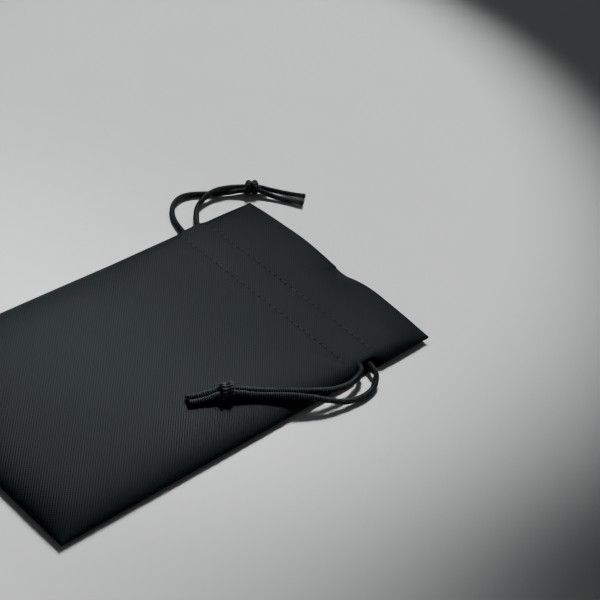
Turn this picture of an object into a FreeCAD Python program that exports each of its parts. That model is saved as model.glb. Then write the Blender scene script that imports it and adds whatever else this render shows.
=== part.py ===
"""Soft drawstring pouch for a pair of glasses, lying flat and empty.

Frame: X across the width, Y along the length with the mouth at +Y, Z up.
The origin is on the floor under the middle of the pouch. Millimetres.
"""
import FreeCAD, Part
import math
import os

OUT = "parts"
os.makedirs(OUT, exist_ok=True)

# ---- driving dimensions -------------------------------------------------
WIDTH = 100.0            # across the side seams
LENGTH = 180.0           # bottom seam to mouth
CLOTH = 0.4              # thickness of one ply of non-woven cloth
GAP = 0.05               # air between two plies that lie on each other
CROWN = 6.0              # height of the pouch along its middle
SEAM_Z = 2.15            # top of the side and bottom seams
CORD = 2.0               # diameter of a drawcord
ROW_UPPER = 62.0         # Y of the stitch row nearer the mouth
ROW_LOWER = 47.5         # Y of the stitch row that closes the hem
HEM_EDGE = 45.5          # Y of the cut edge of the hem
STITCH_PITCH = 3.0
STITCH_LENGTH = 2.1
THREAD = 0.3
PULL = 8.0               # how far a cord slides before the cloth gathers

# ---- sizes worked out from them -----------------------------------------
HALF = WIDTH / 2
END = LENGTH / 2
SEAM_BACK = SEAM_Z - 2 * CLOTH - GAP          # underside of the back panel at a seam
CHANNEL = (ROW_LOWER + 2.0, ROW_UPPER - 1.5)  # flat stretch of the cord channel
SLIT_X = HALF - 3.5                           # where the front panel is slit for the cords
CORD_X = SLIT_X - PULL - 0.5                  # end of a cord's hidden run; pulled, it stays inside
TURN_X = SLIT_X - 1.5                         # middle of a cord's turn in the far slit
HEM_HALF = HALF - 1.5                         # the hem stops short of the side seams
HEM_NOTCH = TURN_X - PULL - 2.5               # the hem is cut back behind each slit
CORD_FRONT_Z = CROWN - CLOTH - GAP - CORD / 2
CORD_BACK_Z = CLOTH + GAP + CORD / 2
CORD_Y = (CHANNEL[0] + 3.5, CHANNEL[1] - 1.2)
KNOT_RADIUS = 3.2
KNOT_HALF = 3.4          # from a knot's middle to its flat ends
KNOT_FACE = 2.4          # radius of those ends
STRAND_APART = 1.1       # a strand's distance from the knot's axis
STRAND_DROP = 0.4        # strands meet a knot a little below its axis

STATIONS = (0.0, 15.0, 30.0, 38.0, 43.0, SLIT_X, HEM_HALF, HALF)
PANEL_Y = (-END, 3 - END, 10 - END, 20 - END, 30 - END, 0.0, HEM_EDGE - 2, ROW_LOWER,
           CHANNEL[0], CHANNEL[1], ROW_UPPER, ROW_UPPER + 3, END)
HEM_Y = (HEM_EDGE, ROW_LOWER, CHANNEL[0], CHANNEL[1], ROW_UPPER, END - 3, END)


def export(name, shape):
    """Write one named piece and report its volume and validity."""
    shape.exportStep(f"{OUT}/{name}.step")
    print(f"{name:22s} solids {len(shape.Solids):3d} volume {shape.Volume:9.2f} valid {shape.isValid()}")


# ---- the surfaces of the cloth ------------------------------------------
def edge_fall(x):
    """1 along the middle, rolling over to 0 at a side seam."""
    return math.sqrt(max(0.0, 1 - (abs(x) / HALF) ** 6))


def bottom_fall(y):
    """1 over the body, rolling over to 0 at the bottom seam."""
    reach = max(0.0, (30 - END - y) / 30)
    return math.sqrt(max(0.0, 1 - min(1.0, reach) ** 4))


def in_channel(y):
    return CHANNEL[0] <= y <= CHANNEL[1]


def front_top(x, y):
    """Upper surface of the front panel; it stays high over the cords at the slits."""
    side = 1.0 if in_channel(y) else edge_fall(x)
    return SEAM_Z + (CROWN - SEAM_Z) * side * bottom_fall(y)


def back_under(x, y):
    """Underside of the back panel: flat on the floor, turned up at the seams."""
    side = 0.0 if in_channel(y) else (abs(x) / HALF) ** 12
    bottom = (1 - bottom_fall(y)) ** 3
    return SEAM_BACK * max(side, bottom)


def front_hem_top(x, y):
    if in_channel(y):
        return CORD_FRONT_Z - CORD / 2 - GAP
    return SEAM_Z + (CROWN - SEAM_Z) * edge_fall(x) - CLOTH - GAP


def back_hem_under(x, y):
    if in_channel(y):
        return CORD_BACK_Z + CORD / 2 + GAP
    return SEAM_BACK * (abs(x) / HALF) ** 12 + CLOTH + GAP


def sheet(surface, y_points, half, upward):
    """A ply of cloth: sections across the length, lofted over the width."""
    inside = [x for x in STATIONS if 0 < x <= half]
    wires = []
    for x in [-x for x in reversed(inside)] + [0.0] + inside:
        outer = [FreeCAD.Vector(x, y, surface(x, y)) for y in y_points]
        step = FreeCAD.Vector(0, 0, CLOTH if upward else -CLOTH)
        loop = outer + [point + step for point in reversed(outer)]
        wires.append(Part.makePolygon(loop + [loop[0]]))
    return Part.makeLoft(wires, True, True)


def box(x_range, y_range, z_range):
    low = FreeCAD.Vector(x_range[0], y_range[0], z_range[0])
    return Part.makeBox(x_range[1] - x_range[0], y_range[1] - y_range[0],
                        z_range[1] - z_range[0], low)


def both_sides(x_range, y_range):
    """A pair of upright cutting blocks, one at each side of the pouch."""
    tall = (-1.0, CROWN + 1.0)
    return [box(x_range, y_range, tall), box((-x_range[1], -x_range[0]), y_range, tall)]


def panels():
    """Front and back panels; the front one is slit at both ends of the channel."""
    front = sheet(front_top, PANEL_Y, HALF, False)
    for block in both_sides((SLIT_X, HALF + 1), (CHANNEL[0] - 0.2, CHANNEL[1] + 0.2)):
        front = front.cut(block)
    export("front_panel", front)
    export("back_panel", sheet(back_under, PANEL_Y, HALF, True))


def hems():
    """The folded-over tops, cut back behind the slits so that the cords can turn there."""
    room = (ROW_LOWER + 0.3, ROW_UPPER - 0.3)
    plies = (("front_hem", front_hem_top, False), ("back_hem", back_hem_under, True))
    for name, surface, upward in plies:
        hem = sheet(surface, HEM_Y, HEM_HALF, upward)
        for block in both_sides((HEM_NOTCH, HALF + 1), room):
            hem = hem.cut(block)
        export(name, hem)


# ---- thread -------------------------------------------------------------
def stitch(start, end):
    run = end - start
    return Part.makeCylinder(THREAD / 2, run.Length, start, run)


def stitch_row(y, surface, proud):
    """One row of separate stitches across the pouch, half sunk in the cloth."""
    reach = SLIT_X - 2.0
    count = int(2 * reach // STITCH_PITCH)
    first = -(count - 1) * STITCH_PITCH / 2
    solids = []
    for index in range(count):
        middle = first + index * STITCH_PITCH
        ends = [middle - STITCH_LENGTH / 2, middle + STITCH_LENGTH / 2]
        points = [FreeCAD.Vector(x, y, level(surface, x, y) + proud) for x in ends]
        solids.append(stitch(*points))
    return Part.makeCompound(solids)


def level(surface, x, y):
    """Height of a lofted sheet, which is straight between its stations."""
    for low, high in zip(STATIONS, STATIONS[1:]):
        if abs(x) <= high:
            part = (abs(x) - low) / (high - low)
            return surface(low, y) * (1 - part) + surface(high, y) * part
    return surface(HALF, y)


def seam(start, end):
    """Hidden lockstitches that join the two panels along an edge."""
    count = int((end - start).Length / STITCH_PITCH)
    step = (end - start) / count
    return Part.makeCompound([stitch(start + step * (n + 0.15), start + step * (n + 0.85))
                              for n in range(count)])


def threads():
    proud = THREAD / 6
    for name, y in (("upper", ROW_UPPER), ("lower", ROW_LOWER)):
        export(f"front_{name}_stitches", stitch_row(y, front_top, proud))
        export(f"back_{name}_stitches", stitch_row(y, back_hem_under, CLOTH + proud))
    inset = 0.6
    seam_z = SEAM_BACK + CLOTH + GAP / 2
    spans = ((2 - END, CHANNEL[0] - 3), (ROW_UPPER + 1.5, END - 1.5))
    for name, x in (("left", inset - HALF), ("right", HALF - inset)):
        runs = [seam(FreeCAD.Vector(x, low, seam_z), FreeCAD.Vector(x, high, seam_z))
                for low, high in spans]
        export(f"{name}_side_seam", Part.makeCompound(runs))
    left = FreeCAD.Vector(2 - HALF, inset - END, seam_z)
    right = FreeCAD.Vector(HALF - 2, inset - END, seam_z)
    export("bottom_seam", seam(left, right))


# ---- cords --------------------------------------------------------------
def rounded(points, name):
    """Straight runs joined by tangent arcs, each as large as its two runs allow."""
    edges = []
    radii = []
    last = points[0]
    for before, here, after in zip(points, points[1:], points[2:]):
        into = here - before
        out = after - here
        short = min(into.Length, out.Length)
        half_turn = into.getAngle(out) / 2
        radius = 0.45 * short / math.tan(half_turn)
        start = here - FreeCAD.Vector(into).normalize() * (0.45 * short)
        stop = here + FreeCAD.Vector(out).normalize() * (0.45 * short)
        bisector = (FreeCAD.Vector(out).normalize() - FreeCAD.Vector(into).normalize()).normalize()
        inside = radius / math.cos(half_turn) - radius
        edges.append(Part.LineSegment(last, start).toShape())
        edges.append(Part.Arc(start, here + bisector * inside, stop).toShape())
        radii.append(round(radius, 1))
        last = stop
    edges.append(Part.LineSegment(last, points[-1]).toShape())
    wire = Part.Wire(edges)
    print(f"{name:22s} length {wire.Length:6.1f} radii {radii}")
    return wire


def cord(name, coordinates):
    """A round cord along a route, with its volume compared with section times length."""
    points = [FreeCAD.Vector(*point) for point in coordinates]
    wire = rounded(points, name)
    ring = Part.Wire(Part.makeCircle(CORD / 2, points[0], points[1] - points[0]))
    shape = wire.makePipeShell([ring], True, False)
    expected = math.pi * (CORD / 2) ** 2 * wire.Length
    print(f"{name:22s} volume over section times length {shape.Volume / expected:.4f}")
    export(name, shape)


def knot(name, middle, heading):
    """Outer shape of an overhand knot: a stubby barrel with three rope-thick ridges."""
    ridges = (-2.2, 0.0, 2.2)
    half_ridge = 1.1
    edges = [Part.LineSegment(FreeCAD.Vector(0, 0, -KNOT_HALF),
                              FreeCAD.Vector(KNOT_FACE, 0, -KNOT_HALF)).toShape()]
    last = FreeCAD.Vector(KNOT_FACE, 0, -KNOT_HALF)
    for place in ridges:
        waist = KNOT_RADIUS - 0.5
        top = KNOT_RADIUS if place == 0 else KNOT_RADIUS - 0.25
        start = FreeCAD.Vector(waist, 0, place - half_ridge)
        stop = FreeCAD.Vector(waist, 0, place + half_ridge)
        if (start - last).Length > 1e-6:
            edges.append(Part.LineSegment(last, start).toShape())
        edges.append(Part.Arc(start, FreeCAD.Vector(top, 0, place), stop).toShape())
        last = stop
    corner = FreeCAD.Vector(KNOT_FACE, 0, KNOT_HALF)
    centre = FreeCAD.Vector(0, 0, KNOT_HALF)
    edges.append(Part.LineSegment(last, corner).toShape())
    edges.append(Part.LineSegment(corner, centre).toShape())
    edges.append(Part.LineSegment(centre, FreeCAD.Vector(0, 0, -KNOT_HALF)).toShape())
    solid = Part.Solid(Part.Shell(Part.Face(Part.Wire(edges)).revolve(
        FreeCAD.Vector(), FreeCAD.Vector(0, 0, 1), 360).Faces))
    turn = FreeCAD.Rotation(FreeCAD.Vector(0, 0, 1), FreeCAD.Vector(heading[0], heading[1], 0))
    solid.Placement = FreeCAD.Placement(FreeCAD.Vector(*middle), turn)
    export(name, solid)


def knot_end(middle, heading, side, along):
    """Middle of a strand where it meets a knot's flat end."""
    size = math.hypot(*heading)
    ahead = (heading[0] / size, heading[1] / size)
    across = (-ahead[1] * side * STRAND_APART, ahead[0] * side * STRAND_APART)
    return (middle[0] + ahead[0] * along * KNOT_HALF + across[0],
            middle[1] + ahead[1] * along * KNOT_HALF + across[1], middle[2] - STRAND_DROP)


def channel_run(name, side, front_y, back_y):
    """The stretch inside the pouch: in by the front channel, round, out by the back one."""
    out_x = side * CORD_X
    turn_x = -side * TURN_X
    cord(name, [(out_x, front_y, CORD_FRONT_Z), (turn_x, front_y, CORD_FRONT_Z),
                (turn_x, back_y, CORD_BACK_Z), (out_x, back_y, CORD_BACK_Z)])


def right_cord():
    """The cord on the +X side: its loop lies over the edge and its knot on the front panel."""
    front_y, back_y = CORD_Y
    middle = (32.3, -2.4, CROWN + KNOT_RADIUS + 0.2)
    heading = (-0.45, -0.89)
    channel_run("right_cord_channel_run", 1, front_y, back_y)
    cord("right_cord_front_strand", [
        (CORD_X, front_y, CORD_FRONT_Z), (44.0, 52.8, 4.4), (50.6, 53.2, 4.7), (53.0, 44.0, 4.4),
        (52.6, 35.0, 5.4), (49.0, 26.0, 7.4), (43.2, 17.5, 7.5), (37.6, 8.6, 7.9),
        knot_end(middle, heading, -1, -1)])
    cord("right_cord_back_strand", [
        (CORD_X, back_y, CORD_BACK_Z), (44.0, 59.1, 1.5), (52.3, 59.0, 2.0), (57.5, 53.5, 1.8),
        (58.8, 44.5, 1.5), (57.2, 35.0, 2.6), (53.5, 27.0, 5.8), (47.7, 19.8, 7.5),
        (42.4, 12.0, 7.7), (38.2, 5.2, 8.1), knot_end(middle, heading, 1, -1)])
    knot("right_cord_knot", middle, heading)
    cord("right_cord_tail_a", [knot_end(middle, heading, -1, 1), (27.6, -10.4, 7.6),
                               (25.6, -15.6, 7.4)])
    cord("right_cord_tail_b", [knot_end(middle, heading, 1, 1), (30.3, -11.6, 7.6),
                               (28.0, -16.8, 7.4)])


def left_cord():
    """The cord on the -X side: its loop and knot lie on the floor beside the mouth."""
    back_y, front_y = CORD_Y
    middle = (-57.6, 98.1, KNOT_RADIUS + 0.1)
    heading = (0.5, 0.87)
    channel_run("left_cord_channel_run", -1, front_y, back_y)
    cord("left_cord_back_strand", [
        (-CORD_X, back_y, CORD_BACK_Z), (-45.0, 52.9, 1.5), (-54.0, 53.9, 1.3), (-62.2, 57.4, 1.2),
        (-68.8, 64.8, 1.15), (-70.3, 73.6, 1.15), (-66.6, 81.2, 1.15), (-61.5, 88.0, 1.4),
        knot_end(middle, heading, -1, -1)])
    cord("left_cord_front_strand", [
        (-CORD_X, front_y, CORD_FRONT_Z), (-44.0, 59.1, 4.5), (-51.8, 60.4, 3.4), (-58.0, 65.5, 1.9),
        (-62.2, 73.0, 2.0), (-63.8, 81.3, 3.8), (-63.1, 89.0, 3.8),
        knot_end(middle, heading, 1, -1)])
    knot("left_cord_knot", middle, heading)
    cord("left_cord_tail_a", [knot_end(middle, heading, 1, 1), (-52.7, 106.5, 1.6),
                              (-48.2, 110.8, 1.25), (-43.6, 115.4, 1.15)])
    cord("left_cord_tail_b", [knot_end(middle, heading, -1, 1), (-49.8, 103.8, 1.3),
                              (-44.8, 107.1, 1.2), (-40.4, 111.0, 1.15)])


panels()
hems()
threads()
right_cord()
left_cord()
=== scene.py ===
"""Soft drawstring pouch for glasses: embossed cloth, stitches and braided cords."""
import math

import bpy
import numpy as np
from mathutils import Matrix, Vector


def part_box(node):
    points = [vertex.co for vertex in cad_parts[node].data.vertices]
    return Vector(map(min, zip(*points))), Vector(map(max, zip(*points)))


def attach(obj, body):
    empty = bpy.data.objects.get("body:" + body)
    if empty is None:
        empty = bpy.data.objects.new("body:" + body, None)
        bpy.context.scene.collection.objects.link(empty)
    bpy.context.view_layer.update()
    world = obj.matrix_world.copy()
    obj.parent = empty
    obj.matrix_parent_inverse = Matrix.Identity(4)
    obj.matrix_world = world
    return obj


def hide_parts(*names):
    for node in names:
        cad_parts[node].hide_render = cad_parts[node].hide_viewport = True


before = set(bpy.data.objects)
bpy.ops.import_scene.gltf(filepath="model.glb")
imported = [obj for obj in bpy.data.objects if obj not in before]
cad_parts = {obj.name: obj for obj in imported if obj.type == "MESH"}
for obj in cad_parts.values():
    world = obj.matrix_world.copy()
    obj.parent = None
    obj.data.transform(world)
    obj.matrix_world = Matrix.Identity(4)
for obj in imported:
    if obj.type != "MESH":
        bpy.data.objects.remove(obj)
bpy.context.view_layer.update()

MM = 0.001


def box_mm(node):
    """Lowest and highest corner of a CAD node, in millimetres."""
    return [[value / MM for value in corner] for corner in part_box(node)]


def middle_mm(node, axis):
    low, high = box_mm(node)
    return (low[axis] + high[axis]) / 2


# ---- sizes, in millimetres: from the frame where it has them, the rest set here ----
HALF, END, CROWN = box_mm("front_panel")[1]
ROW_UPPER = middle_mm("front_upper_stitches", 1)
ROW_LOWER = middle_mm("front_lower_stitches", 1)
SEAM_Z = middle_mm("bottom_seam", 2)         # plane in which the two panels meet
HEM_EDGE = box_mm("front_hem")[0][1]
HEM_HALF = box_mm("front_hem")[1][0]
CORD = 2.0                                   # cord diameter
CLOTH = 0.4                                  # one ply of cloth
FOLD = 0.45                                  # outer radius of a folded edge
ALLOWANCE = 5.0                              # cloth turned inside at a seam
STITCH_PITCH = 3.0
THREAD = 0.34
CHANNEL = (ROW_LOWER + 2.0, ROW_UPPER - 1.5)
CORD_Y = (CHANNEL[0] + 3.5, CHANNEL[1] - 1.2)
CORD_X = box_mm("right_cord_channel_run")[1][0]   # end of a cord's hidden run
CORD_FRONT_Z = CROWN - CLOTH - 0.05 - CORD / 2
CORD_BACK_Z = CLOTH + 0.05 + CORD / 2
KNOT_RADIUS = 3.2
KNOT_HALF = 3.4
STRAND_APART = 1.1
STRAND_DROP = 0.4
GRID = 0.6                                   # spacing of the cloth's mesh
BACK_MOUTH = END - 0.8                       # the back panel's mouth stops just short of the front's
HEM_NOTCH = HALF - 18                        # the hems are cut back behind the slits, beyond this X
HEM_FRONT_Z = 3.1                            # height of each hem where the cords lie between them
HEM_BACK_Z = 2.9
ROW_REACH = HALF - 5.5                       # a stitch row ends here


# ---- small helpers ------------------------------------------------------
def ease(value):
    value = np.clip(value, 0.0, 1.0)
    return value * value * (3 - 2 * value)


def hill(value, centre, spread):
    return np.exp(-((value - centre) / spread) ** 2)


def window(value, low, high, soft):
    """1 between low and high, easing to 0 over soft on each side."""
    return ease((value - low + soft) / soft) * ease((high + soft - value) / soft)


def curve_through(points, value):
    """Smooth curve through listed (place, height) points."""
    places = np.array([point[0] for point in points], float)
    heights = np.array([point[1] for point in points], float)
    slopes = np.gradient(heights, places)
    index = np.clip(np.searchsorted(places, value) - 1, 0, len(places) - 2)
    span = places[index + 1] - places[index]
    t = np.clip((value - places[index]) / span, 0.0, 1.0)
    return ((1 + 2 * t) * (1 - t) ** 2 * heights[index] + t * (1 - t) ** 2 * span * slopes[index]
            + t * t * (3 - 2 * t) * heights[index + 1] + t * t * (t - 1) * span * slopes[index + 1])


def crease(x, y, start, end, depth, width):
    """A soft furrow from start to end, deepest in its middle."""
    start = np.array(start, float)
    run = np.array(end, float) - start
    size = np.hypot(*run)
    along = ((x - start[0]) * run[0] + (y - start[1]) * run[1]) / size ** 2
    across = ((x - start[0]) * run[1] - (y - start[1]) * run[0]) / size
    return -depth * hill(across, 0, width) * hill(along, 0.5, 0.42)


# ---- shape of the cloth -------------------------------------------------
# (X, height) along the top panel's lip: two swells with a dip between them
LIP = ((-50, 2.5), (-42, 3.1), (-30, 3.8), (-20, 4.2), (-12, 3.8), (-6, 3.1), (-1, 2.45), (3.5, 2.0),
       (6.5, 2.2), (10, 3.15), (14.5, 4.1), (19.5, 4.6), (27, 4.35), (38, 3.5), (50, 2.5))
SLIT_LIFT = 2.5                              # the panel's edge rises over the cords in a slit
DROOP_FROM = ROW_UPPER + 3                   # the top panel droops from here to the mouth
DROOP_POWER = 3.2                            # higher: the droop stays nearer the mouth


def slit(y):
    """1 along the slit in a side seam where the cords come out."""
    return window(y, CORD_Y[0] + 0.2, CORD_Y[1] - 0.2, 6.5)


def seam_level(side, y):
    """Height of the seam: it lifts off the floor towards the corners of the mouth."""
    return SEAM_Z + np.where(side > 0, 0.5, 1.1) * ease((y - 40) / (END - 40))


def front_edge(side, y):
    """Half width of the front panel: its edge draws in over the cords, more on the +X side."""
    return HALF - np.where(side > 0, 2.8, 0.9) * slit(y)


def back_edge(side, y):
    return HALF - 0.4 * slit(y)


def edge_fall(q, y):
    """1 along the middle, rolling over to 0 at the side, where q is 1 or -1; crisper near the mouth."""
    return np.sqrt(np.clip(1 - np.abs(q) ** (6 + 10 * ease((y - 10) / 35)), 0.0, 1.0))


def bottom_fall(y):
    reach = np.clip((30 - END - y) / 30, 0.0, 1.0)
    return np.sqrt(np.clip(1 - reach ** 4, 0.0, 1.0))


def rows(x, y):
    """1 on the two stitch rows, with the small gathers between stitches."""
    pucker = 1 + 0.3 * np.cos(2 * math.pi * x / STITCH_PITCH)
    return (hill(y, ROW_UPPER, 1.2) + hill(y, ROW_LOWER, 1.2)) * pucker


def front_top(q, y):
    """Outer surface of the front panel."""
    x = q * front_edge(q, y)
    channel = window(y, CORD_Y[0] - 1.0, CORD_Y[1] + 1.0, 9.0)
    waves = 0.2 * np.sin(x / 15 + 0.8) * np.sin(y / 27 + 0.6) + 0.11 * np.sin(y / 11 - x / 19)
    body = CROWN - 0.35 + 0.15 * channel + waves * (1 - 0.6 * channel)
    body = body + 0.4 * hill(x, 36, 11) * (1 - channel)
    body = body - 0.02 * rows(x, y) * window(np.abs(x), 0, 44, 3)
    body = body + crease(x, y, (22, 80), (38, 70), 0.13, 2.0)
    body = body + crease(x, y, (46, 47), (35, 42), 0.3, 2.4)
    body = body + crease(x, y, (46, 66), (38, 71), 0.2, 2.2)
    body = body + crease(x, y, (-46, 47), (-38, 41), 0.15, 2.0)
    droop = np.clip((y - DROOP_FROM) / (END - DROOP_FROM), 0.0, 1.0) ** DROOP_POWER
    lip = curve_through(LIP, x) + seam_level(q, y) - SEAM_Z
    ridge = body * (1 - droop) + lip * droop
    edge = seam_level(q, y) + FOLD + SLIT_LIFT * slit(y)
    return edge + (ridge - edge) * edge_fall(q, y) * bottom_fall(y)


def back_under(q, y):
    """Outer surface of the back panel: flat on the floor, curling up at the seams."""
    x = q * back_edge(q, y)
    side = 1 - np.sqrt(np.clip(1 - np.abs(q) ** 30, 0.0, 1.0))
    reach = np.clip((8 - END - y) / 8, 0.0, 1.0)
    bottom = 1 - np.sqrt(np.clip(1 - reach ** 3, 0.0, 1.0))
    seam = (seam_level(q, y) - FOLD) * (1 - 0.6 * slit(y))
    return seam * np.maximum(side, bottom) + 0.2 * rows(x, y) / 1.3 * window(np.abs(x), 0, 44, 3)


def spaced(low, high, step):
    return np.linspace(low, high, int(round((high - low) / step)) + 1)


def across_stations():
    """Stations over the width: (q, how far down, how far in), with the seam allowance turned in."""
    close = 1 - 0.12 * (np.arange(11, -1, -1) / 12) ** 2
    main = np.concatenate([spaced(0, 0.88 * HALF, GRID) / HALF, close])
    turn = np.linspace(0, math.pi / 2, 6)[1:]
    inward = np.arange(1, 4) * ALLOWANCE / 3
    q = np.concatenate([main, np.ones(len(turn) + len(inward))])
    down = np.concatenate([np.zeros(len(main)), FOLD * np.sin(turn), np.full(len(inward), FOLD)])
    inset = np.concatenate([np.zeros(len(main)), FOLD * (1 - np.cos(turn)), FOLD + inward])
    mirror = slice(None, 0, -1)
    return (np.concatenate([-q[mirror], q]), np.concatenate([down[mirror], down]),
            np.concatenate([inset[mirror], inset]))


def along_stations(mouth_y):
    """Stations over the length: (y, how far down), closed at the bottom and folded at the mouth."""
    turn = np.linspace(0, math.pi / 2, 6)[1:][::-1]
    close = -END + 10 * (np.arange(0, 12) / 12) ** 2
    main = np.concatenate([close, spaced(10 - END, mouth_y - FOLD, GRID)])
    lip = np.linspace(0, math.pi, 10)[1:]
    inward = np.arange(3, 0, -1) * ALLOWANCE / 3
    y = np.concatenate([-END + FOLD + inward, -END + FOLD * (1 - np.cos(turn)), main,
                        mouth_y - FOLD + FOLD * np.sin(lip)])
    down = np.concatenate([np.full(len(inward), FOLD), FOLD * np.sin(turn), np.zeros(len(main)),
                           FOLD * (1 - np.cos(lip))])
    level = np.concatenate([np.full(len(inward) + len(turn), -END), main,
                            np.full(len(lip), mouth_y - FOLD)])
    return y, down, level


def cloth_object(name, x, y, z, keep=None):
    """A ply of cloth as a grid, with its flat-cloth coordinates in metres as UVs; keep picks its faces."""
    points = np.stack([x, y, z], axis=2) * MM
    row_count, column_count = x.shape
    index = np.arange(row_count * column_count).reshape(row_count, column_count)
    faces = np.stack([index[:-1, :-1], index[:-1, 1:], index[1:, 1:], index[1:, :-1]], axis=2)
    if keep is not None:
        faces = faces[keep]
    faces = faces.reshape(-1, 4)
    across = np.linalg.norm(np.diff(points, axis=1), axis=2)
    u = np.concatenate([np.zeros((row_count, 1)), np.cumsum(across, axis=1)], axis=1)
    u = u - u[:, [column_count // 2]]
    along = np.linalg.norm(np.diff(points[:, column_count // 2], axis=0), axis=1)
    v = np.concatenate([[0], np.cumsum(along)])
    v = v - np.interp(0, y[:, column_count // 2] * MM, v)
    uv = np.stack([u, np.broadcast_to(v[:, None], u.shape)], axis=2).reshape(-1, 2)
    mesh = bpy.data.meshes.new(name)
    mesh.from_pydata(points.reshape(-1, 3).tolist(), [], faces.tolist())
    layer = mesh.uv_layers.new(name="cloth")
    layer.data.foreach_set("uv", uv[faces.reshape(-1)].reshape(-1))
    return finished(name, mesh)


def finished(name, mesh):
    """Put a mesh into the scene with smooth shading."""
    mesh.polygons.foreach_set("use_smooth", [True] * len(mesh.polygons))
    mesh.update()
    piece = bpy.data.objects.new(name, mesh)
    bpy.context.scene.collection.objects.link(piece)
    return piece


def thicken(piece, outward):
    """Give a ply its thickness, on the inner side of the surface that was drawn."""
    solid = piece.modifiers.new("ply", "SOLIDIFY")
    solid.thickness = CLOTH * MM
    solid.offset = -outward
    return piece


def panel(name, surface, edge, outward, mouth_y):
    """One panel: side folds whose allowance is cut away at the slits, a bottom fold and one at the mouth."""
    q, down_q, inset = across_stations()
    y, down_y, level = along_stations(mouth_y)
    q_grid, level_grid = np.meshgrid(q, level)
    mouth_fold = np.where(level >= mouth_y - FOLD, down_y, 0)[:, None]
    mouth_fold = mouth_fold * (1 - 0.5 * ease((np.abs(q) - 0.9) / 0.1))[None, :]
    bottom_fold = np.where(level < 0, down_y, 0)[:, None]
    down = np.maximum(np.maximum(mouth_fold, bottom_fold), down_q[None, :])
    x = q_grid * edge(q_grid, level_grid) - np.sign(q_grid) * inset[None, :]
    z = surface(q_grid, level_grid) - outward * down
    cut_away = (inset > FOLD)[None, :] & (slit(level) > 0.5)[:, None]
    piece = cloth_object(name, x, np.broadcast_to(y[:, None], x.shape), z,
                         ~(cut_away[:-1, :-1] | cut_away[:-1, 1:]))
    return thicken(piece, outward)


def hem(name, surface, edge, outward, mouth_y, channel_z):
    """The folded-over top: it follows the panel, stands off it along the channel, is notched at the slits."""
    x = spaced(-HEM_HALF, HEM_HALF, 1.0)
    y = np.concatenate([spaced(HEM_EDGE, CHANNEL[1] + 3, 0.5), spaced(CHANNEL[1] + 4, mouth_y - FOLD, 1.0)])
    x_grid, y_grid = np.meshgrid(x, y)
    follow = surface(x_grid / edge(x_grid, y_grid), y_grid) - outward * 2 * FOLD
    held = window(y_grid, CHANNEL[0] + 0.5, CHANNEL[1] - 0.2, 1.6)
    z = follow * (1 - held) + channel_z * held
    notch = (np.abs(x_grid) > HEM_NOTCH) & (y_grid > ROW_LOWER) & (y_grid < ROW_UPPER)
    piece = cloth_object(name, x_grid, y_grid, z, ~notch[:-1, :-1])
    return thicken(piece, -outward)


# ---- thread -------------------------------------------------------------
def swept(points, radii, around):
    """Vertices and faces of a closed tube through points, with one radius or ring of radii each."""
    points = np.asarray(points, float)
    tangents = np.gradient(points, axis=0)
    tangents = tangents / np.linalg.norm(tangents, axis=1, keepdims=True)
    side = np.cross(tangents[0], (0.0, 0.0, 1.0))
    if np.linalg.norm(side) < 1e-3:
        side = np.cross(tangents[0], (0.0, 1.0, 0.0))
    angles = np.arange(around) * 2 * math.pi / around
    rings = []
    for point, tangent, radius in zip(points, tangents, radii):
        side = side - tangent * np.dot(side, tangent)
        side = side / np.linalg.norm(side)
        up = np.cross(tangent, side)
        ring = np.outer(np.cos(angles), side) + np.outer(np.sin(angles), up)
        rings.append(point + ring * np.reshape(radius, (-1, 1)))
    vertices = np.concatenate(rings)
    index = np.arange(len(vertices)).reshape(-1, around)
    after = np.roll(index, -1, axis=1)
    faces = np.stack([index[:-1], after[:-1], after[1:], index[1:]], axis=2).reshape(-1, 4).tolist()
    faces.append(index[0][::-1].tolist())
    faces.append(index[-1].tolist())
    return vertices, faces


def joined(name, parts):
    """One mesh from several (vertices, faces) parts; a braid's parts also bring how proud each point is."""
    vertices = []
    faces = []
    proud = []
    for part_vertices, part_faces, *part_proud in parts:
        start = len(vertices)
        vertices.extend(part_vertices.tolist())
        faces.extend([[start + corner for corner in face] for face in part_faces])
        proud.extend(part_proud)
    mesh = bpy.data.meshes.new(name)
    mesh.from_pydata(vertices, [], faces)
    if proud:
        mesh.attributes.new("rib", "FLOAT", "POINT").data.foreach_set("value", np.concatenate(proud))
    return finished(name, mesh)


STITCH_LENGTH = 2.24
STITCH_RISE = 0.2        # how far a stitch's middle stands over its ends
STITCH_SINK = 0.17       # how deep its ends go into the cloth
STITCH_SLANT = 0.1
THREAD_AROUND = 10       # points round the thread


def stitch_row(name, row_y, surface, edge, outward):
    """Separate stitches that come up out of one hole and go down into the next."""
    count = int(2 * ROW_REACH // STITCH_PITCH)
    first = -(count - 1) * STITCH_PITCH / 2
    along = np.linspace(-1, 1, 9)
    arch = 1 - along ** 4
    row = np.full(len(along), row_y)
    parts = []
    for number in range(count):
        middle = first + number * STITCH_PITCH
        x = middle + along * STITCH_LENGTH / 2
        level = surface(x / edge(x, row), row)
        z = level + outward * (arch * STITCH_RISE - STITCH_SINK)
        points = np.stack([x, row_y + STITCH_SLANT * along, z], axis=1) * MM
        parts.append(swept(points, np.full(len(along), THREAD / 2 * MM), THREAD_AROUND))
    return joined(name, parts)


# ---- cords --------------------------------------------------------------
BRAID_COLUMNS = 6        # columns of stitches round the cord
BRAID_PITCH = 0.85       # length of one stitch along the cord
BRAID_SLANT = 0.35       # how far a stitch leans, in pitches
BRAID_RELIEF = 0.40      # from the bottom of a groove to the top of a rib
BRAID_AROUND = 40        # points round the tube
BRAID_STEP = 0.14        # distance from one ring of points to the next


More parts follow.
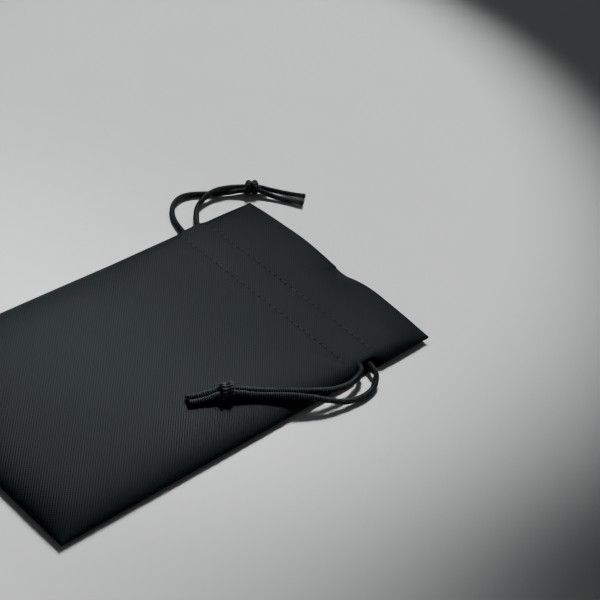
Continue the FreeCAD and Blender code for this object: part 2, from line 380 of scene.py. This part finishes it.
def braid(places, radius):
    """Radii over a round braid: columns of slanted stitches that meet in a herringbone."""
    column = np.arange(BRAID_AROUND) / BRAID_AROUND * BRAID_COLUMNS
    within = column % 1.0
    lean = np.where(column.astype(int) % 2 == 0, 1, -1) * BRAID_SLANT * (within - 0.5)
    phase = places[:, None] / BRAID_PITCH + lean[None, :]
    rib = np.abs(np.sin(math.pi * phase)) * (0.75 + 0.25 * np.sin(math.pi * within) ** 0.5)[None, :]
    return radius + BRAID_RELIEF * (rib - 0.55), rib


def smooth_route(points):
    """Points along the cord's own NURBS spline, in metres."""
    curve = bpy.data.curves.new("route", "CURVE")
    curve.dimensions = "3D"
    curve.resolution_u = 24
    spline = curve.splines.new("NURBS")
    spline.points.add(len(points) - 1)
    for place, point in zip(spline.points, points):
        place.co = (point[0] * MM, point[1] * MM, point[2] * MM, 1)
    spline.order_u = 3
    spline.use_endpoint_u = True
    holder = bpy.data.objects.new("route", curve)
    line = bpy.data.meshes.new_from_object(holder)
    path = [tuple(vertex.co) for vertex in line.vertices]
    bpy.data.objects.remove(holder)
    bpy.data.curves.remove(curve)
    bpy.data.meshes.remove(line)
    return path


def evenly(path, step):
    """Evenly spaced points along a path, and how far along each one is."""
    path = np.array(path)
    gaps = np.linalg.norm(np.diff(path, axis=0), axis=1)
    along = np.concatenate([[0], np.cumsum(gaps)])
    places = np.linspace(0, along[-1], int(round(along[-1] / step)) + 1)
    return np.stack([np.interp(places, along, path[:, axis]) for axis in range(3)], axis=1), places


def braided(path, radius, cut_end):
    """A braided tube; a cut end is heat-sealed, so it flares a little and rounds off."""
    points, places = evenly(path, BRAID_STEP * MM)
    places = places / MM
    radii, rib = braid(places, radius)
    left = places[-1] - places
    flare = 1 + (0.14 * hill(left, 0.9, 0.6) if cut_end else 0)
    dome = np.sqrt(np.clip(1 - (1 - np.clip(left / 0.5, 0, 1)) ** 2, 0.02, 1)) if cut_end else 1
    radii = radii * np.reshape(flare * dome * np.ones(len(places)), (-1, 1)) * MM
    return *swept(points, radii, BRAID_AROUND), rib.reshape(-1)


def knot_end(middle, heading, side, along):
    """Where a strand meets a knot's end face, as in the CAD model."""
    size = math.hypot(*heading)
    ahead = (heading[0] / size, heading[1] / size)
    across = (-ahead[1] * side * STRAND_APART, ahead[0] * side * STRAND_APART)
    return (middle[0] + ahead[0] * along * KNOT_HALF + across[0],
            middle[1] + ahead[1] * along * KNOT_HALF + across[1], middle[2] - STRAND_DROP)


KNOT_TURNS = 2.9
KNOT_LENGTH = 5.8
KNOT_ACROSS = 2.25       # radii of the turns, sideways and upwards
KNOT_UP = 2.05


def knot_wraps(name, middle, heading):
    """The turns of the overhand knot, drawn up into two lobes round the strands that run through it."""
    ahead = np.array([heading[0], heading[1], 0.0]) / math.hypot(*heading)
    across = np.array([-ahead[1], ahead[0], 0.0])
    up = np.array([0.0, 0.0, 1.0])
    t = np.linspace(0, 1, 240)
    angle = -0.7 * math.pi + t * KNOT_TURNS * 2 * math.pi
    waist = hill(t, 0.5, 0.1)
    reach = (0.3 + 0.7 * ease(t / 0.12) * ease((1 - t) / 0.12)) * (1 - 0.3 * waist)
    along = -KNOT_LENGTH / 2 + KNOT_LENGTH * t + 0.75 * np.sin(4 * math.pi * t) + 0.35 * np.cos(angle)
    path = (np.array(middle) + np.outer(along, ahead)
            + np.outer(np.cos(angle) * KNOT_ACROSS * reach, across)
            + np.outer(np.sin(angle) * KNOT_UP * reach, up)) * MM
    return joined(name, [braided(path, CORD / 2, False)])


def loose_cord(name, points, body, nodes):
    """One strand of a drawcord from its slit, through the knot, to its cut end."""
    path = smooth_route(points)
    piece = joined(name, [braided(path, CORD / 2, True)])
    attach(piece, body)
    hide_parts(*nodes)
    return piece


def right_cord():
    """The cord on the +X side, with its knot lying on the front panel."""
    front_y, back_y = CORD_Y
    middle = (32.3, -2.4, CROWN + KNOT_RADIUS - 0.3)
    heading = (-0.45, -0.89)
    knot = knot_wraps("right_knot_wraps", middle, heading)
    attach(knot, "right_cord")
    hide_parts("right_cord_knot")
    front = [(CORD_X, front_y, CORD_FRONT_Z), (43.6, 53.2, 4.1), (49.4, 52.6, 4.2), (52.3, 44.6, 4.0),
             (52.3, 35.6, 4.9), (49.2, 26.4, 6.5), (43.4, 17.6, 6.7), (37.6, 8.6, 7.0),
             knot_end(middle, heading, -1, -1), knot_end(middle, heading, -1, 1),
             (27.7, -10.4, 7.0), (25.6, -15.6, 6.9)]
    back = [(CORD_X, back_y, CORD_BACK_Z), (43.6, 58.3, 2.8), (49.2, 57.6, 3.2), (53.8, 56.0, 2.8),
            (57.4, 51.0, 1.7), (58.4, 43.5, 1.3), (57.0, 35.2, 2.3), (53.5, 27.4, 5.0), (47.8, 19.9, 6.6),
            (42.4, 12.0, 6.8), (38.2, 5.2, 7.2), knot_end(middle, heading, 1, -1),
            knot_end(middle, heading, 1, 1), (30.3, -11.4, 7.0), (28.0, -16.8, 6.9)]
    return [knot,
            loose_cord("right_front_cord", front, "right_cord",
                       ("right_cord_front_strand", "right_cord_tail_a")),
            loose_cord("right_back_cord", back, "right_cord",
                       ("right_cord_back_strand", "right_cord_tail_b"))]


def left_cord():
    """The cord on the -X side, lying on the floor beside the mouth."""
    back_y, front_y = CORD_Y
    middle = (-57.6, 98.1, KNOT_RADIUS + 0.1)
    heading = (0.5, 0.87)
    knot = knot_wraps("left_knot_wraps", middle, heading)
    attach(knot, "left_cord")
    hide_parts("left_cord_knot")
    back = [(-CORD_X, back_y, CORD_BACK_Z), (-45.0, 53.2, 1.6), (-54.0, 54.6, 1.3), (-62.0, 57.4, 1.2),
            (-68.6, 63.8, 1.22), (-70.6, 71.6, 1.22), (-67.4, 79.0, 1.22), (-62.4, 86.6, 1.3),
            knot_end(middle, heading, -1, -1), knot_end(middle, heading, -1, 1),
            (-49.8, 103.8, 1.3), (-44.8, 107.1, 1.2), (-39.3, 111.8, 1.38)]
    front = [(-CORD_X, front_y, CORD_FRONT_Z), (-43.2, 59.0, 3.0), (-50.6, 60.6, 2.9), (-55.6, 65.0, 1.9),
             (-60.4, 69.4, 1.4), (-63.2, 75.4, 2.6), (-64.2, 82.6, 3.5), (-62.6, 89.8, 3.4),
             knot_end(middle, heading, 1, -1), knot_end(middle, heading, 1, 1),
             (-52.7, 106.5, 1.6), (-48.2, 110.8, 1.25), (-42.4, 116.2, 1.38)]
    return [knot,
            loose_cord("left_back_cord", back, "left_cord",
                       ("left_cord_back_strand", "left_cord_tail_b")),
            loose_cord("left_front_cord", front, "left_cord",
                       ("left_cord_front_strand", "left_cord_tail_a"))]


# ---- materials ----------------------------------------------------------
class Nodes:
    """A material's node tree, with short calls for the nodes that repeat."""

    def __init__(self, name):
        self.material = bpy.data.materials.new(name)
        self.material.use_nodes = True
        self.tree = self.material.node_tree
        self.shader = self.tree.nodes["Principled BSDF"]

    def put(self, socket, value):
        if isinstance(value, bpy.types.NodeSocket):
            self.tree.links.new(value, socket)
        else:
            socket.default_value = value

    def math(self, operation, first, second=0.0, third=0.0):
        node = self.tree.nodes.new("ShaderNodeMath")
        node.operation = operation
        self.put(node.inputs[0], first)
        self.put(node.inputs[1], second)
        self.put(node.inputs[2], third)
        return node.outputs[0]

    def ripple(self, place, turn):
        """Rounded ribs that follow one another along place."""
        return self.math("ABSOLUTE", self.math("SINE", self.math("MULTIPLY", place, turn)))

    def coordinates(self, kind):
        """The cloth's own coordinates or the object's, in millimetres: the vector and its X, Y and Z."""
        source = self.tree.nodes.new("ShaderNodeTexCoord")
        scale = self.tree.nodes.new("ShaderNodeVectorMath")
        scale.operation = "SCALE"
        scale.inputs["Scale"].default_value = 1 / MM
        self.tree.links.new(source.outputs[kind], scale.inputs[0])
        split = self.tree.nodes.new("ShaderNodeSeparateXYZ")
        self.tree.links.new(scale.outputs[0], split.inputs[0])
        return scale.outputs[0], split.outputs

    def noise(self, vector, scale, detail):
        node = self.tree.nodes.new("ShaderNodeTexNoise")
        self.put(node.inputs["Vector"], vector)
        node.inputs["Scale"].default_value = scale
        node.inputs["Detail"].default_value = detail
        return node.outputs["Fac"]

    def mix(self, factor, first, second):
        node = self.tree.nodes.new("ShaderNodeMix")
        node.data_type = "RGBA"
        self.put(node.inputs[0], factor)
        self.put(node.inputs[6], first)
        self.put(node.inputs[7], second)
        return node.outputs[2]

    def bump(self, height, distance, strength, below=None):
        node = self.tree.nodes.new("ShaderNodeBump")
        node.inputs["Distance"].default_value = distance
        node.inputs["Strength"].default_value = strength
        self.put(node.inputs["Height"], height)
        if below is not None:
            self.put(node.inputs["Normal"], below)
        return node.outputs[0]

    def surface(self, **values):
        for name, value in values.items():
            self.put(self.shader.inputs[name.replace("_", " ")], value)
        return self.material


EMBOSS_PITCH = 0.85      # spacing of the embossed grid, in millimetres
HOLE_REACH = 0.4         # how far a needle hole reaches to either side of its row


def cloth_material(name, stitched):
    """Charcoal non-woven cloth, pressed with a fine diagonal grid."""
    nodes = Nodes(name)
    vector, (u, v, _) = nodes.coordinates("UV")
    turn = math.pi / EMBOSS_PITCH / math.sqrt(2)
    first = nodes.ripple(nodes.math("ADD", u, v), turn)
    second = nodes.ripple(nodes.math("SUBTRACT", u, v), turn)
    ribs = nodes.math("POWER", first, 0.8)
    grid = nodes.math("MULTIPLY", ribs, nodes.math("MULTIPLY_ADD", second, 0.35, 0.65))
    fibres = nodes.noise(vector, 6.0, 4.0)
    patches = nodes.noise(vector, 0.05, 3.0)
    # colour: the fibres' and patches' own tone, and the pressed grid lighter on its ridges, partly the
    # pattern's own tone and partly painted shade in its furrows
    tone_and_painted_shade = nodes.math("ADD", nodes.math("MULTIPLY", grid, 0.75), nodes.math("MULTIPLY", fibres, 0.35))
    tone_and_painted_shade = nodes.math("ADD", tone_and_painted_shade, nodes.math("MULTIPLY", patches, 0.25))
    colour = nodes.mix(tone_and_painted_shade, (0.0020, 0.0026, 0.0029, 1), (0.0095, 0.0119, 0.0128, 1))
    shine = nodes.math("ADD", nodes.math("MULTIPLY", grid, -0.2), nodes.math("MULTIPLY", fibres, -0.08))
    if stitched:
        holes = stitch_holes(nodes, u, v)
        colour = nodes.mix(holes, colour, (0.0005, 0.0005, 0.0005, 1))
        shine = nodes.math("ADD", shine, nodes.math("MULTIPLY", holes, 0.4))
    fine = nodes.bump(fibres, 0.012 * MM, 0.6)
    normal = nodes.bump(grid, 0.085 * MM, 1.0, fine)
    return nodes.surface(Base_Color=colour, Roughness=nodes.math("ADD", shine, 0.6), Normal=normal,
                         Specular_IOR_Level=0.0192, Specular_Tint=(0.87, 0.98, 1.0, 1.0))


def stitch_holes(nodes, u, v):
    """Dark needle holes between the stitches of both rows."""
    phase = nodes.math("COSINE", nodes.math("MULTIPLY", u, 2 * math.pi / STITCH_PITCH))
    beside = nodes.math("POWER", nodes.math("MULTIPLY_ADD", phase, -0.5, 0.5), 8.0)
    spots = []
    for row in (ROW_UPPER, ROW_LOWER):
        off = nodes.math("ABSOLUTE", nodes.math("SUBTRACT", v, row))
        spots.append(nodes.math("LESS_THAN", off, HOLE_REACH))
    return nodes.math("MULTIPLY", nodes.math("ADD", spots[0], spots[1]), beside)


def cord_material():
    """Black braided polyester; the braid itself is in the mesh, with painted shade down in its grooves and a
    painted highlight on its rib tops.
    """
    nodes = Nodes("braided_cord")
    vector, _ = nodes.coordinates("Object")
    filaments = nodes.noise(vector, 9.0, 3.0)
    rib = nodes.tree.nodes.new("ShaderNodeAttribute")
    rib.attribute_name = "rib"
    # painted highlight on the rib tops and painted shade down in the grooves, from how proud each point is
    painted_rib_light = nodes.math("MULTIPLY", nodes.math("POWER", rib.outputs["Fac"], 2.0),
                     nodes.math("MULTIPLY_ADD", filaments, 0.8, 0.6))
    colour = nodes.mix(painted_rib_light, (0.0006, 0.0008, 0.0009, 1), (0.052, 0.0585, 0.0605, 1))
    return nodes.surface(Base_Color=colour, Roughness=0.5, Specular_IOR_Level=0.06,
                         Specular_Tint=(0.9, 0.98, 1.0, 1.0), Normal=nodes.bump(filaments, 0.03 * MM, 0.6))


def thread_material():
    nodes = Nodes("sewing_thread")
    vector, _ = nodes.coordinates("Object")
    twist = nodes.noise(vector, 12.0, 2.0)
    colour = nodes.mix(twist, (0.024, 0.028, 0.0295, 1), (0.068, 0.079, 0.082, 1))
    return nodes.surface(Base_Color=colour, Roughness=0.55, Specular_IOR_Level=0.03,
                         Normal=nodes.bump(twist, 0.02 * MM, 0.5))


def floor_material():
    nodes = Nodes("pale_floor")
    return nodes.surface(Base_Color=(0.60, 0.615, 0.61, 1), Roughness=0.85, Specular_IOR_Level=0.2)


def paint(piece, material):
    piece.data.materials.clear()
    piece.data.materials.append(material)


def repaint_node(node, material):
    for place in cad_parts[node].material_slots:
        place.material = material


# ---- putting the object together ----------------------------------------
def build_cloth():
    """The four plies, each standing for its CAD solid."""
    stitched = cloth_material("nonwoven_stitched", True)
    plain = cloth_material("nonwoven", False)
    width = 2 * (HALF + ALLOWANCE) * MM
    length = (2 * END + ALLOWANCE) * MM
    hem_flat = (2 * HEM_HALF * MM, (END - HEM_EDGE) * MM)
    front = (front_top, front_edge, 1, END)
    back = (back_under, back_edge, -1, BACK_MOUTH)
    plies = ((panel("front_cloth", *front), "front_panel", (width, length)),
             (panel("back_cloth", *back), "back_panel", (width, length)),
             (hem("front_hem_cloth", *front, HEM_FRONT_Z), "front_hem", hem_flat),
             (hem("back_hem_cloth", *back, HEM_BACK_Z), "back_hem", hem_flat))
    for piece, node, flat in plies:
        paint(piece, stitched if node.endswith("panel") else plain)
        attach(piece, "pouch")
        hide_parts(node)


def build_thread():
    """Visible stitches on the front, and the same rows on the underside."""
    thread = thread_material()
    for label, row_y in (("upper", ROW_UPPER), ("lower", ROW_LOWER)):
        front = stitch_row(f"front_{label}_thread", row_y, front_top, front_edge, 1)
        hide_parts(f"front_{label}_stitches")
        back = stitch_row(f"back_{label}_thread", row_y, back_under, back_edge, -1)
        for piece in (front, back):
            paint(piece, thread)
            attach(piece, "pouch")
    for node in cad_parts:
        if node.endswith("stitches") or node.endswith("seam"):
            repaint_node(node, thread)


def build_cords():
    material = cord_material()
    for piece in right_cord() + left_cord():
        paint(piece, material)
    for side in ("right", "left"):
        repaint_node(f"{side}_cord_channel_run", material)


def build_floor():
    mesh = bpy.data.meshes.new("floor")
    size = 4.0
    level = -0.05 * MM
    mesh.from_pydata([(-size, -size, level), (size, -size, level), (size, size, level), (-size, size, level)],
                     [], [(0, 1, 2, 3)])
    floor = bpy.data.objects.new("floor", mesh)
    bpy.context.scene.collection.objects.link(floor)
    paint(floor, floor_material())


def aimed(location, target, roll=0.0):
    """A matrix at location whose -Z looks at target."""
    back = (Vector(location) - Vector(target)).normalized()
    right = Vector((0, 0, 1)).cross(back).normalized()
    up = back.cross(right)
    turn = math.radians(roll)
    right_rolled = right * math.cos(turn) + up * math.sin(turn)
    up_rolled = up * math.cos(turn) - right * math.sin(turn)
    matrix = Matrix((right_rolled, up_rolled, back)).transposed().to_4x4()
    matrix.translation = location
    return matrix


def around_target(target, azimuth, elevation, distance):
    a = math.radians(azimuth)
    e = math.radians(elevation)
    back = Vector((math.sin(a) * math.cos(e), -math.cos(a) * math.cos(e), math.sin(e)))
    return Vector(target) + back * distance


def build_camera():
    target = (4.4 * MM, 65.5 * MM, 0.0)
    azimuth, elevation, distance, roll = 36.4, 37.9, 0.631, 13.1
    place = around_target(target, azimuth, elevation, distance)
    camera = bpy.data.cameras.new("camera")
    camera.lens = 97.2
    camera.clip_start = 0.01
    holder = bpy.data.objects.new("camera", camera)
    holder.matrix_world = aimed(place, target, roll)
    bpy.context.scene.collection.objects.link(holder)
    bpy.context.scene.camera = holder


def soft_spot(name, energy, size, cone, target, azimuth, elevation, distance):
    """A spotlight hung at an azimuth and elevation from its target, facing it."""
    lamp = bpy.data.lights.new(name, "SPOT")
    lamp.energy = energy
    lamp.shadow_soft_size = size
    lamp.spot_size = math.radians(cone)
    lamp.spot_blend = 1.0
    holder = bpy.data.objects.new(name, lamp)
    holder.matrix_world = aimed(around_target(target, azimuth, elevation, distance), target)
    bpy.context.scene.collection.objects.link(holder)
    return holder


def build_light():
    """Two large soft spotlights from behind the mouth, and a dim surround."""
    key = soft_spot("key", energy=372, size=0.17, cone=14.1, target=(-0.084, 0.118, 0.0),
                    azimuth=224, elevation=49, distance=0.45)
    key.scale = (1.0, 0.66, 1.0)
    soft_spot("fill", energy=62, size=0.18, cone=38, target=(0.048, -0.278, 0.0),
              azimuth=209, elevation=37.5, distance=0.6)
    world = bpy.data.worlds.new("surround")
    world.use_nodes = True
    world.node_tree.nodes["Background"].inputs["Color"].default_value = (0.9, 0.95, 0.97, 1)
    world.node_tree.nodes["Background"].inputs["Strength"].default_value = 0.08
    bpy.context.scene.world = world


build_camera()
build_cords()
build_cloth()
build_thread()
build_floor()
build_light()
